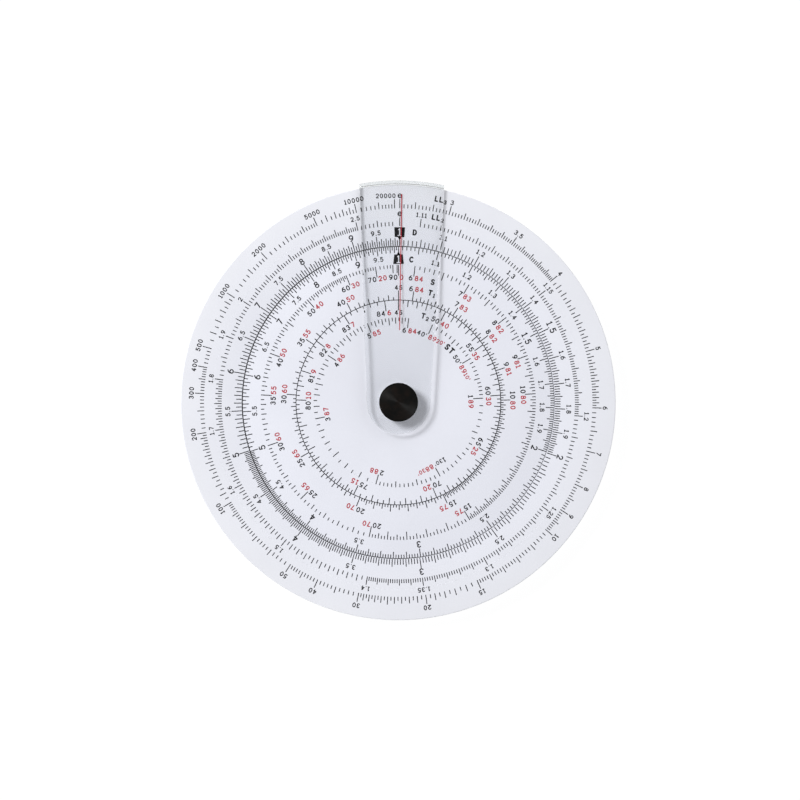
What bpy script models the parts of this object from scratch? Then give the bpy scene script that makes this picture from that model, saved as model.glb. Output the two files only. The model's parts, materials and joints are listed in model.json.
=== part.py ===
"""A duplex circular slide rule, 110 mm across, as an assembly of separate pieces.

A laminated white ring carries the outer scales. A laminated white dial turns inside it, held by a tongue that
runs in a groove of the ring. A clear cursor passes over both faces, is closed round the rim by a bridge, and
turns on a central pivot that two black knobs clamp together.

Units are metres, +Z is up. The origin is on the pivot's axis, on the outer face of the back knob, which is the
face that the rule rests on. The cursor points along +Y. Run it with: blender --background --python part.py
"""

import math

import bmesh
import bpy
from mathutils import Matrix

MM = 0.001

# Ring and dial
RULE_RADIUS = 55.0 * MM
BODY_THICKNESS = 3.0 * MM
CORE_THICKNESS = 1.0 * MM
GLUE_FILM = 0.05 * MM
SHEET_THICKNESS = (BODY_THICKNESS - CORE_THICKNESS) / 2 - GLUE_FILM
RIM_CHAMFER = 0.25 * MM
SEAM_RADIUS = 39.44 * MM
SEAM_GAP = 0.14 * MM
SEAM_CHAMFER = 0.06 * MM
TONGUE_RADIUS = 42.0 * MM
TONGUE_THICKNESS = 0.8 * MM
TONGUE_STEP_RADIUS = 39.0 * MM
GROOVE_RADIUS = 42.3 * MM

# Clear cursor
BLADE_THICKNESS = 0.8 * MM
BLADE_HUB_RADIUS = 8.0 * MM
BLADE_END_RADIUS = 56.1 * MM
BLADE_END_HALF_WIDTH = 10.75 * MM
BLADE_CHAMFER = 0.2 * MM
BLADE_STATIONS = 14
HUB_LIFT = 1.25 * MM  # how far the blade stands off the body's face at the hub
RIM_LIFT = 0.15 * MM  # and at the rim
BOW_START = 9.0 * MM
BOW_END = 50.0 * MM
BRIDGE_INNER_RADIUS = 55.3 * MM
HAIRLINE_WIDTH = 0.22 * MM
HAIRLINE_DEPTH = 0.06 * MM
HAIRLINE_START = 18.2 * MM
HAIRLINE_END = 52.7 * MM
HAIRLINE_PLAY = 0.02 * MM  # between the ink line and the groove that holds it

# Central pivot. Heights are measured outwards from the body's face.
DIAL_BORE_RADIUS = 3.0 * MM
BUSH_RADIUS = 2.95 * MM
BUSH_BORE_RADIUS = 1.6 * MM
STUD_RADIUS = 1.5 * MM
STUD_END_HEIGHT = 2.95 * MM
NECK_RADIUS = 2.5 * MM
NECK_CLEARANCE = 0.1 * MM
NECK_BORE_RADIUS = 1.55 * MM
NECK_BORE_HEIGHT = 3.0 * MM
STACK_GAP = 0.05 * MM
SPACER_RADIUS = 4.4 * MM
WASHER_RADIUS = 4.6 * MM
WASHER_THICKNESS = 0.2 * MM
KNOB_RADIUS = 4.9 * MM
KNOB_HEIGHT = 1.1 * MM
KNOB_CHAMFER = 0.15 * MM
SPRING_INNER_RADIUS = 2.75 * MM
SPRING_OUTER_RADIUS = 4.3 * MM
SPRING_WIRE = 0.12 * MM
SPRING_HEIGHT = 0.3 * MM
SPRING_WAVES = 3

SPACER_TOP = HUB_LIFT - STACK_GAP
WASHER_BASE = HUB_LIFT + BLADE_THICKNESS + STACK_GAP
KNOB_BASE = WASHER_BASE + WASHER_THICKNESS + STACK_GAP
KNOB_TOP = KNOB_BASE + KNOB_HEIGHT
HALF_BODY = BODY_THICKNESS / 2
MID_PLANE = KNOB_TOP + HALF_BODY  # height of the body's middle above the rest face

BODY_SEGMENTS = 96
HUB_SEGMENTS = 48
SHARP_ANGLE = math.radians(30)
WELD = 1e-7


# ---------------------------------------------------------------------------------------------------- materials

def principled(name, colour, roughness, metallic=0.0, transmission=0.0):
    """A Principled material with one colour."""
    material = bpy.data.materials.new(name)
    material.use_nodes = True
    shader = material.node_tree.nodes["Principled BSDF"]
    shader.inputs["Base Color"].default_value = (*colour, 1.0)
    shader.inputs["Roughness"].default_value = roughness
    shader.inputs["Metallic"].default_value = metallic
    shader.inputs["Transmission Weight"].default_value = transmission
    shader.inputs["IOR"].default_value = 1.49
    return material


def make_materials():
    return {
        "white_vinyl": principled("white_vinyl", (0.80, 0.82, 0.87), 0.45),
        "core_vinyl": principled("core_vinyl", (0.72, 0.73, 0.75), 0.55),
        "clear_acrylic": principled("clear_acrylic", (0.93, 0.95, 0.97), 0.05, transmission=0.95),
        "red_ink": principled("red_ink", (0.72, 0.06, 0.08), 0.5),
        "black_anodised": principled("black_anodised", (0.012, 0.011, 0.011), 0.3, metallic=0.8),
        "nylon": principled("nylon", (0.85, 0.85, 0.83), 0.5),
        "brass": principled("brass", (0.72, 0.55, 0.25), 0.35, metallic=1.0),
        "steel": principled("steel", (0.62, 0.62, 0.63), 0.35, metallic=1.0),
    }


# ------------------------------------------------------------------------------------------------ shared shaping

def finished(name, bm, material, parent, flipped=False):
    """The bmesh as a named object under its joint's empty. A flipped object faces the back of the rule."""
    bmesh.ops.remove_doubles(bm, verts=bm.verts, dist=WELD)
    bmesh.ops.recalc_face_normals(bm, faces=bm.faces)
    mesh = bpy.data.meshes.new(name)
    bm.to_mesh(mesh)
    bm.free()
    mesh.materials.append(material)
    mesh.shade_smooth()
    mesh.set_sharp_from_angle(angle=SHARP_ANGLE)
    return placed(name, mesh, parent, flipped)


def placed(name, mesh, parent, flipped=False):
    """An object of this mesh under its joint's empty. The empties stand on the mid-plane, on the pivot's axis."""
    obj = bpy.data.objects.new(name, mesh)
    bpy.context.scene.collection.objects.link(obj)
    obj.parent = parent
    obj.rotation_euler = (0.0, math.pi if flipped else 0.0, 0.0)
    return obj


def turned(profile, segments, closed=True):
    """A bmesh turned about the Z axis from (radius, height) points. An open profile starts and ends on the axis."""
    bm = bmesh.new()
    verts = [bm.verts.new((radius, 0.0, height)) for radius, height in profile]
    pairs = list(zip(verts, verts[1:]))
    if closed:
        pairs.append((verts[-1], verts[0]))
    edges = [bm.edges.new(pair) for pair in pairs]
    bmesh.ops.spin(
        bm, geom=verts + edges, cent=(0, 0, 0), axis=(0, 0, 1), angle=2 * math.pi, steps=segments, use_merge=True
    )
    return bm


def flat_ring(inner, outer, base, top, segments):
    """A plain washer between two radii and two heights."""
    return turned([(inner, base), (outer, base), (outer, top), (inner, top)], segments)


def arc(radius, start, end, count):
    """Points on a circle about the pivot, from one angle to the other, both in radians from +X."""
    angles = [start + (end - start) * i / count for i in range(count + 1)]
    return [(radius * math.cos(a), radius * math.sin(a)) for a in angles]


def cut_with(obj, cutter_bm, name):
    """Takes the cutter's volume out of the object."""
    mesh = bpy.data.meshes.new(name)
    bmesh.ops.recalc_face_normals(cutter_bm, faces=cutter_bm.faces)
    cutter_bm.to_mesh(mesh)
    cutter_bm.free()
    cutter = placed(name, mesh, obj.parent)
    cutter.rotation_euler = obj.rotation_euler
    cutter.hide_render = True
    cutter.display_type = "WIRE"
    boolean = obj.modifiers.new(name, "BOOLEAN")
    boolean.operation = "DIFFERENCE"
    boolean.object = cutter


# -------------------------------------------------------------------------------------------------- ring and dial

def make_ring_sheets(material, parent):
    """The two printed face sheets of the ring, one mesh, with the rim and the seam edge eased on the outside."""
    inner = SEAM_RADIUS + SEAM_GAP / 2
    base = HALF_BODY - SHEET_THICKNESS
    profile = [
        (inner, base),
        (RULE_RADIUS, base),
        (RULE_RADIUS, HALF_BODY - RIM_CHAMFER),
        (RULE_RADIUS - RIM_CHAMFER, HALF_BODY),
        (inner + SEAM_CHAMFER, HALF_BODY),
        (inner, HALF_BODY - SEAM_CHAMFER),
    ]
    front = finished("ring_front_sheet", turned(profile, BODY_SEGMENTS), material, parent)
    placed("ring_back_sheet", front.data, parent, flipped=True)


def make_ring_core(material, parent):
    """The ring's middle layer. Its bore is wider than the sheets', which leaves the groove for the tongue."""
    half = CORE_THICKNESS / 2
    bm = flat_ring(GROOVE_RADIUS, RULE_RADIUS, -half, half, BODY_SEGMENTS)
    finished("ring_core", bm, material, parent)


def make_dial_sheets(material, parent):
    """The two printed face sheets of the dial, one mesh."""
    outer = SEAM_RADIUS - SEAM_GAP / 2
    base = HALF_BODY - SHEET_THICKNESS
    profile = [
        (DIAL_BORE_RADIUS, base),
        (outer, base),
        (outer, HALF_BODY - SEAM_CHAMFER),
        (outer - SEAM_CHAMFER, HALF_BODY),
        (DIAL_BORE_RADIUS, HALF_BODY),
    ]
    front = finished("dial_front_sheet", turned(profile, BODY_SEGMENTS), material, parent)
    placed("dial_back_sheet", front.data, parent, flipped=True)


def make_dial_core(material, parent):
    """The dial's middle layer, thinned at its edge to the tongue that runs in the ring's groove."""
    half, tongue = CORE_THICKNESS / 2, TONGUE_THICKNESS / 2
    profile = [
        (DIAL_BORE_RADIUS, -half),
        (TONGUE_STEP_RADIUS, -half),
        (TONGUE_STEP_RADIUS, -tongue),
        (TONGUE_RADIUS, -tongue),
        (TONGUE_RADIUS, tongue),
        (TONGUE_STEP_RADIUS, tongue),
        (TONGUE_STEP_RADIUS, half),
        (DIAL_BORE_RADIUS, half),
    ]
    finished("dial_core", turned(profile, BODY_SEGMENTS), material, parent)


def make_hub_bush(material, parent):
    """The brass tube in the dial's bore that the pivot stud turns in."""
    bm = flat_ring(BUSH_BORE_RADIUS, BUSH_RADIUS, -HALF_BODY, HALF_BODY, HUB_SEGMENTS)
    finished("hub_bush", bm, material, parent)


# --------------------------------------------------------------------------------------------------------- cursor

def bow(y):
    """Height of the blade's underside above the body's face, at a distance y from the pivot: a clamped beam's S."""
    s = min(1.0, max(0.0, (y - BOW_START) / (BOW_END - BOW_START)))
    fall = s * s * (3 - 2 * s)
    return HUB_LIFT + (RIM_LIFT - HUB_LIFT) * fall


def taper_angle():
    """Angle between a blade's side and +Y. The sides are tangent to the round hub end and reach the end's corners."""
    corner_y = math.sqrt(BLADE_END_RADIUS**2 - BLADE_END_HALF_WIDTH**2)
    reach = math.hypot(BLADE_END_HALF_WIDTH, corner_y)
    return math.atan2(BLADE_END_HALF_WIDTH, corner_y) - math.asin(BLADE_HUB_RADIUS / reach)


def blade_outline():
    """The blade seen from above, counter-clockwise: round hub end, straight tapered sides, end round the rim."""
    lean = taper_angle()
    corner = math.asin(BLADE_END_HALF_WIDTH / BLADE_END_RADIUS)
    hub = arc(BLADE_HUB_RADIUS, math.pi + lean, 2 * math.pi - lean, 24)
    end = arc(BLADE_END_RADIUS, math.pi / 2 - corner, math.pi / 2 + corner, 12)
    return hub + end


def make_blades(material, parent):
    """The cursor's two clear blades. Each bows from the hub stack down to the rim."""
    bm = bmesh.new()
    face = bm.faces.new([bm.verts.new((x, y, 0.0)) for x, y in blade_outline()])
    raised = bmesh.ops.extrude_face_region(bm, geom=[face])["geom"]
    top_verts = [g for g in raised if isinstance(g, bmesh.types.BMVert)]
    bmesh.ops.translate(bm, vec=(0, 0, BLADE_THICKNESS), verts=top_verts)
    rim = [e for e in bm.edges if all(v in top_verts for v in e.verts)]
    bmesh.ops.bevel(bm, geom=rim, offset=BLADE_CHAMFER, segments=1, affect="EDGES", profile=0.5)
    for i in range(BLADE_STATIONS + 1):
        y = BOW_START + (BOW_END - BOW_START) * i / BLADE_STATIONS
        everything = bm.verts[:] + bm.edges[:] + bm.faces[:]
        bmesh.ops.bisect_plane(bm, geom=everything, plane_co=(0, y, 0), plane_no=(0, 1, 0))
    for vert in bm.verts:
        vert.co.z += HALF_BODY + bow(vert.co.y)
    front = finished("cursor_front_blade", bm, material, parent)
    back = placed("cursor_back_blade", front.data, parent, flipped=True)
    for blade in (front, back):
        bore = turned_plug(NECK_RADIUS + NECK_CLEARANCE, HALF_BODY, HALF_BODY + KNOB_TOP)
        cut_with(blade, bore, blade.name + "_bore")
        groove = hairline_strip(HAIRLINE_WIDTH / 2 + HAIRLINE_PLAY, HAIRLINE_DEPTH + HAIRLINE_PLAY, -BLADE_CHAMFER)
        cut_with(blade, groove, blade.name + "_groove")


def turned_plug(radius, base, top):
    """A solid round bar between two heights."""
    return turned([(0.0, base), (radius, base), (radius, top), (0.0, top)], HUB_SEGMENTS, closed=False)


def hairline_strip(half_width, depth, underside, end_play=HAIRLINE_PLAY):
    """A strip along the cursor that follows the blade's underside, from underside up to depth into the blade."""
    bm = bmesh.new()
    start, end = HAIRLINE_START - end_play, HAIRLINE_END + end_play
    rows = []
    for i in range(BLADE_STATIONS + 1):
        y = start + (end - start) * i / BLADE_STATIONS
        foot = HALF_BODY + bow(y)
        corners = [(-half_width, underside), (half_width, underside), (half_width, depth), (-half_width, depth)]
        rows.append([bm.verts.new((x, y, foot + z)) for x, z in corners])
    for near, far in zip(rows, rows[1:]):
        for k in range(4):
            bm.faces.new((near[k], near[(k + 1) % 4], far[(k + 1) % 4], far[k]))
    bm.faces.new(rows[0])
    bm.faces.new(rows[-1])
    bmesh.ops.recalc_face_normals(bm, faces=bm.faces)
    return bm


def make_hairlines(material, parent):
    """The red ink that fills the reading line engraved in each blade's underside."""
    bm = hairline_strip(HAIRLINE_WIDTH / 2, HAIRLINE_DEPTH - HAIRLINE_PLAY, HAIRLINE_PLAY, end_play=0.0)
    front = finished("front_hairline", bm, material, parent)
    placed("back_hairline", front.data, parent, flipped=True)


def make_bridge(material, parent):
    """The curved clear block that joins the two blades past the rim."""
    half_height = HALF_BODY + RIM_LIFT - GLUE_FILM
    corner = math.asin(BLADE_END_HALF_WIDTH / BLADE_END_RADIUS)
    start, end = math.pi / 2 - corner, math.pi / 2 + corner
    outline = arc(BLADE_END_RADIUS, start, end, 12) + arc(BRIDGE_INNER_RADIUS, end, start, 12)
    bm = bmesh.new()
    face = bm.faces.new([bm.verts.new((x, y, -half_height)) for x, y in outline])
    raised = bmesh.ops.extrude_face_region(bm, geom=[face])["geom"]
    top_verts = [g for g in raised if isinstance(g, bmesh.types.BMVert)]
    bmesh.ops.translate(bm, vec=(0, 0, 2 * half_height), verts=top_verts)
    finished("cursor_bridge", bm, material, parent)


# ---------------------------------------------------------------------------------------------------------- pivot

def make_knobs(material, parent):
    """The two black knobs. Each is a flat cap on a neck that carries the blade, with a blind bore for the stud."""
    base, top = HALF_BODY + KNOB_BASE, HALF_BODY + KNOB_TOP
    foot = HALF_BODY + NECK_CLEARANCE
    profile = [
        (0.0, top),
        (KNOB_RADIUS - KNOB_CHAMFER, top),
        (KNOB_RADIUS, top - KNOB_CHAMFER),
        (KNOB_RADIUS, base),
        (NECK_RADIUS, base),
        (NECK_RADIUS, foot),
        (NECK_BORE_RADIUS, foot),
        (NECK_BORE_RADIUS, HALF_BODY + NECK_BORE_HEIGHT),
        (0.0, HALF_BODY + NECK_BORE_HEIGHT),
    ]
    front = finished("front_knob", turned(profile, HUB_SEGMENTS, closed=False), material, parent)
    placed("back_knob", front.data, parent, flipped=True)


def make_stud(material, parent):
    """The steel stud that both knobs screw onto."""
    reach = HALF_BODY + STUD_END_HEIGHT
    finished("pivot_stud", turned_plug(STUD_RADIUS, -reach, reach), material, parent)


def make_washers(material, parent):
    """The thin nylon washers between the blades and the knobs."""
    base = HALF_BODY + WASHER_BASE
    bm = flat_ring(NECK_RADIUS + NECK_CLEARANCE, WASHER_RADIUS, base, base + WASHER_THICKNESS, HUB_SEGMENTS)
    front = finished("front_knob_washer", bm, material, parent)
    placed("back_knob_washer", front.data, parent, flipped=True)


def make_spacers(material, parent):
    """The nylon spacers that lift the blades off the dial. The back one leaves room for the wave spring."""
    bore, top = NECK_RADIUS + NECK_CLEARANCE, HALF_BODY + SPACER_TOP
    front = flat_ring(bore, SPACER_RADIUS, HALF_BODY + STACK_GAP, top, HUB_SEGMENTS)
    finished("front_spacer", front, material, parent)
    back = flat_ring(bore, SPACER_RADIUS, HALF_BODY + 2 * STACK_GAP + SPRING_HEIGHT, top, HUB_SEGMENTS)
    finished("back_spacer", back, material, parent, flipped=True)


def make_wave_spring(material, parent):
    """The wave spring on the back that keeps the stack under a light load, so that the cursor stays where it is put."""
    middle = HALF_BODY + STACK_GAP + SPRING_HEIGHT / 2
    swing = (SPRING_HEIGHT - SPRING_WIRE) / 2
    low, high = middle - SPRING_WIRE / 2, middle + SPRING_WIRE / 2
    bm = flat_ring(SPRING_INNER_RADIUS, SPRING_OUTER_RADIUS, low, high, HUB_SEGMENTS)
    for vert in bm.verts:
        vert.co.z += swing * math.cos(SPRING_WAVES * math.atan2(vert.co.y, vert.co.x))
    finished("wave_spring", bm, material, parent, flipped=True)


# ------------------------------------------------------------------------------------------------------- assembly

def make_axis(name):
    """An empty on the pivot's axis, on the mid-plane, that carries one moving group."""
    empty = bpy.data.objects.new(name, None)
    empty.matrix_world = Matrix.Translation((0, 0, MID_PLANE))
    bpy.context.scene.collection.objects.link(empty)
    return empty


def main():
    for obj in list(bpy.data.objects):
        bpy.data.objects.remove(obj)
    looks = make_materials()

    ring = make_axis("ring_axis")
    make_ring_sheets(looks["white_vinyl"], ring)
    make_ring_core(looks["core_vinyl"], ring)

    dial = make_axis("dial_axis")
    make_dial_sheets(looks["white_vinyl"], dial)
    make_dial_core(looks["core_vinyl"], dial)
    make_hub_bush(looks["brass"], dial)

    cursor = make_axis("cursor_axis")
    make_blades(looks["clear_acrylic"], cursor)
    make_hairlines(looks["red_ink"], cursor)
    make_bridge(looks["clear_acrylic"], cursor)

    pivot = make_axis("pivot_axis")
    make_knobs(looks["black_anodised"], pivot)
    make_stud(looks["steel"], pivot)
    make_washers(looks["nylon"], pivot)
    make_spacers(looks["nylon"], pivot)
    make_wave_spring(looks["steel"], pivot)


main()
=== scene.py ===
"""The looks of a duplex circular slide rule: two printed faces, a clear cursor and black turned knobs.

Everything is in metres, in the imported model's frame: +Z out of the front face, the cursor along +Y at rest.
Face coordinates are x to the right, y up and z outwards, as one looks at a face. The back face's are the
front face's turned half round about the Y axis. Angles round the rule are turns, clockwise from the index.
"""

import functools
import json
import math

import bmesh
import bpy
import numpy as np
from mathutils import Matrix, Vector
from mathutils.geometry import delaunay_2d_cdt


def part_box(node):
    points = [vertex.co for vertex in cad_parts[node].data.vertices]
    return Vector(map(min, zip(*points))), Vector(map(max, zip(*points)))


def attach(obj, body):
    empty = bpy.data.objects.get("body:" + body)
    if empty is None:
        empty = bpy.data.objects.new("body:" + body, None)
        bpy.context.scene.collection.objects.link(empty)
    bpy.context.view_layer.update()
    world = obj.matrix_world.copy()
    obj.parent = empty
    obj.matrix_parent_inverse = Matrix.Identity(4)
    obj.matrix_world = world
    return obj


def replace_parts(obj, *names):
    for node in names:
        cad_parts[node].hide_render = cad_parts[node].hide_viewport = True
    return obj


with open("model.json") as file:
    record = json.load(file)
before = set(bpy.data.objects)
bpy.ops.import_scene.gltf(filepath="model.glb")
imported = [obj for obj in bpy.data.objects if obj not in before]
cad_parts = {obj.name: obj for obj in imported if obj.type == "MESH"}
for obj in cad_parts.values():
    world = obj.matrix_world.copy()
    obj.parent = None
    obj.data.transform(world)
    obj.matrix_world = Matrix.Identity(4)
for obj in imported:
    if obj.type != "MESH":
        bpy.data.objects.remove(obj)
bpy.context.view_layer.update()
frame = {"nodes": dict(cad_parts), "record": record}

MM = 0.001
TURN = 2 * math.pi

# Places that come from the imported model
RIM_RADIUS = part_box("ring_front_sheet")[1].y
DIAL_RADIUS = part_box("dial_front_sheet")[1].y
FACE_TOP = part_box("dial_front_sheet")[1].z
MID_PLANE = (FACE_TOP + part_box("dial_back_sheet")[0].z) / 2
HALF_BODY = FACE_TOP - MID_PLANE
SHEET_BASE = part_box("dial_front_sheet")[0].z - MID_PLANE
CORE_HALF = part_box("ring_core")[1].z - MID_PLANE
TONGUE_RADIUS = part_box("dial_core")[1].y
BLADE_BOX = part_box("cursor_front_blade")
BLADE_HUB_RADIUS = -BLADE_BOX[0].y
BLADE_END_RADIUS = BLADE_BOX[1].y
BLADE_END_HALF_WIDTH = BLADE_BOX[1].x
BRIDGE_HALF_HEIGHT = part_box("cursor_bridge")[1].z - MID_PLANE
KNOB_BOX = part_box("front_knob")
KNOB_RADIUS = KNOB_BOX[1].y
KNOB_TOP = KNOB_BOX[1].z - MID_PLANE
KNOB_FOOT = KNOB_BOX[0].z - MID_PLANE
WASHER_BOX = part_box("front_knob_washer")
SPACER_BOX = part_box("front_spacer")
BACK_SPACER_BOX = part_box("back_spacer")

# Sizes that the model's boxes don't show
SEAM_GAP = 0.14 * MM
SEAM_RADIUS = DIAL_RADIUS + SEAM_GAP / 2
DIAL_BORE_RADIUS = 3.0 * MM
GROOVE_RADIUS = 42.3 * MM
TONGUE_STEP_RADIUS = 39.0 * MM
TONGUE_HALF = 0.4 * MM
BLADE_THICKNESS = 0.8 * MM
BLADE_BORE_RADIUS = 2.6 * MM
BRIDGE_INNER_RADIUS = 55.3 * MM
BOW_START = 9.0 * MM
BOW_END = 50.0 * MM
NECK_RADIUS = 2.5 * MM
NECK_BORE_RADIUS = 1.55 * MM
NECK_BORE_TOP = HALF_BODY + 3.0 * MM
HUB_LIFT = BLADE_BOX[1].z - MID_PLANE - HALF_BODY - BLADE_THICKNESS
RIM_LIFT = BLADE_BOX[0].z - MID_PLANE - HALF_BODY


# ---------- node materials

def set_input(tree, socket, value):
    """Links a value that is another node's socket, and sets any other value."""
    if isinstance(value, bpy.types.NodeSocket):
        tree.links.new(value, socket)
    else:
        socket.default_value = value


def node(tree, kind, inputs=None, **settings):
    """Adds a shader node, by its type without the ShaderNode prefix, with its settings and its inputs."""
    made = tree.nodes.new("ShaderNode" + kind)
    for name, value in settings.items():
        setattr(made, name, value)
    for name, value in (inputs or {}).items():
        set_input(tree, made.inputs[name], value)
    return made


def link_inputs(tree, shader, **values):
    """Sets or links the shader's inputs, named with underscores for spaces."""
    for name, value in values.items():
        set_input(tree, shader.inputs[name.replace("_", " ")], value)


def math_node(tree, operation, first, second=0.0):
    return node(tree, "Math", {0: first, 1: second}, operation=operation).outputs[0]


def times(tree, first, second):
    return math_node(tree, "MULTIPLY", first, second)


def plus(tree, first, second):
    return math_node(tree, "ADD", first, second)


def minus(tree, first, second):
    return math_node(tree, "SUBTRACT", first, second)


def remap(tree, value, low, high, to_low=0.0, to_high=1.0):
    """The value moved from one range to another, clamped."""
    inputs = {"Value": value, "From Min": low, "From Max": high, "To Min": to_low, "To Max": to_high}
    return node(tree, "MapRange", inputs).outputs["Result"]


def mixed(tree, factor, first, second):
    """A colour between two colours."""
    return node(tree, "Mix", {0: factor, 6: first, 7: second}, data_type="RGBA").outputs[2]


def start_material(name):
    """A new material's tree, its Principled shader and its place in millimetres."""
    material = bpy.data.materials.new(name)
    material.use_nodes = True
    tree = material.node_tree
    place = node(tree, "TexCoord").outputs["Object"]
    in_mm = node(tree, "VectorMath", {0: place, "Scale": 1 / MM}, operation="SCALE").outputs[0]
    return material, tree, tree.nodes["Principled BSDF"], in_mm


def noise(tree, place, scale, detail=3.0, roughness=0.5):
    inputs = {"Vector": place, "Scale": scale, "Detail": detail, "Roughness": roughness}
    return node(tree, "TexNoise", inputs).outputs["Fac"]


def radius_of(tree, place):
    """Distance from the pivot's axis, in the units of the place."""
    parts = node(tree, "SeparateXYZ", {0: place})
    flat = node(tree, "CombineXYZ", {"X": parts.outputs["X"], "Y": parts.outputs["Y"]}).outputs[0]
    return node(tree, "VectorMath", {0: flat}, operation="LENGTH").outputs["Value"]


def rub_rings(tree, place, pitch, seed):
    """Fine rings round the pivot, broken up along their length, as turning or rubbing leaves them."""
    inputs = {"W": radius_of(tree, place), "Scale": 1 / pitch, "Detail": 4.0}
    line = node(tree, "TexNoise", inputs, noise_dimensions="1D")
    offset = node(tree, "VectorMath", {0: place, 1: (seed, seed, seed)}).outputs[0]
    patch = remap(tree, noise(tree, offset, 0.12, 2.0), 0.42, 0.62)
    return times(tree, line.outputs["Fac"], patch)


def specks(tree, place, scale, size):
    """Small scattered dots: 1 inside a dot and 0 outside."""
    cells = node(tree, "TexVoronoi", {"Vector": place, "Scale": scale})
    chosen = node(tree, "SeparateXYZ", {0: cells.outputs["Color"]}).outputs["X"]
    rare = math_node(tree, "GREATER_THAN", chosen, 0.8)
    near = remap(tree, cells.outputs["Distance"], size, size * 0.5, 0.0, 1.0)
    return times(tree, rare, near)


def set_bump(tree, shader, height, distance, strength=1.0):
    bump = node(tree, "Bump", {"Height": height, "Distance": distance, "Strength": strength})
    tree.links.new(bump.outputs[0], shader.inputs["Normal"])


SEAM_SHADE_SIDE = (-0.985, 0.174, 0.0)  # the way from the pivot to where the seam's painted shade is darkest


def vinyl_material(name, inner, outer, grain):
    """Satin calendered sheet, bluer within than at the rim.

    It has a fine grain, faint clouding, rings that the cursor has rubbed, dust, and painted shade along the
    seam, strong on one side and faint on the other.
    """
    material, tree, shader, place = start_material(name)
    radius = radius_of(tree, place)
    tone = mixed(tree, remap(tree, radius, 38.0, 55.0), inner, outer)
    cloud = remap(tree, noise(tree, place, 0.045, 3.0), 0.3, 0.7)
    mottle = remap(tree, noise(tree, place, 1.3, 4.0, 0.65), 0.25, 0.75, 0.0, 0.35)
    uneven = plus(tree, times(tree, cloud, 0.65), mottle)
    tone = mixed(tree, times(tree, uneven, 0.06), tone, (0.25, 0.25, 0.27, 1.0))
    dust = times(tree, specks(tree, place, 0.55, 0.045), 0.35)
    tone = mixed(tree, dust, tone, (0.30, 0.29, 0.28, 1.0))
    # Painted shade: a near-black band along the seam, strong on the left and faint on the right, stands in
    # for the shadow in the gap between ring and dial.
    seam = SEAM_RADIUS / MM
    from_seam = math_node(tree, "ABSOLUTE", minus(tree, radius, seam))
    to_side = node(tree, "VectorMath", {0: place, 1: SEAM_SHADE_SIDE}, operation="DOT_PRODUCT")
    one_sided = remap(tree, to_side.outputs["Value"], -seam, 0.9 * seam, 0.03, 1.0)
    painted_seam_shade = times(tree, remap(tree, from_seam, 0.11, 0.18, 0.97, 0.0), one_sided)
    tone = mixed(tree, painted_seam_shade, tone, (0.03, 0.03, 0.035, 1.0))
    rings = rub_rings(tree, place, 0.11, 3.0)
    height = minus(tree, noise(tree, place, grain, 2.0, 0.6), times(tree, rings, 0.5))
    set_bump(tree, shader, height, 0.006 * MM, 0.6)
    smear = remap(tree, noise(tree, place, 0.09, 4.0, 0.6), 0.35, 0.7, 0.0, 0.12)
    roughness = minus(tree, minus(tree, 0.46, smear), times(tree, rings, 0.08))
    link_inputs(tree, shader, Base_Color=tone, Roughness=roughness, Specular_IOR_Level=0.42)
    return material


def ink_material(name, colour, thin):
    """Screen-printed ink: slightly uneven in density, a little glossier than the sheet."""
    material, tree, shader, place = start_material(name)
    density = remap(tree, noise(tree, place, 2.4, 4.0, 0.6), 0.35, 0.75)
    pin_holes = times(tree, specks(tree, place, 7.0, 0.12), 0.2)
    tone = mixed(tree, pin_holes, mixed(tree, density, colour, thin), (0.75, 0.76, 0.8, 1.0))
    set_bump(tree, shader, noise(tree, place, 22.0), 0.003 * MM, 0.7)
    roughness = remap(tree, noise(tree, place, 3.0), 0.3, 0.7, 0.32, 0.5)
    link_inputs(tree, shader, Base_Color=tone, Roughness=roughness, Specular_IOR_Level=0.22)
    return material


FACE_PASSES = 0.985  # light that passes one polished face of the acrylic on its way to the print below
EDGE_PASSES = 0.28  # and one rounded edge, which throws the rest aside


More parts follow.
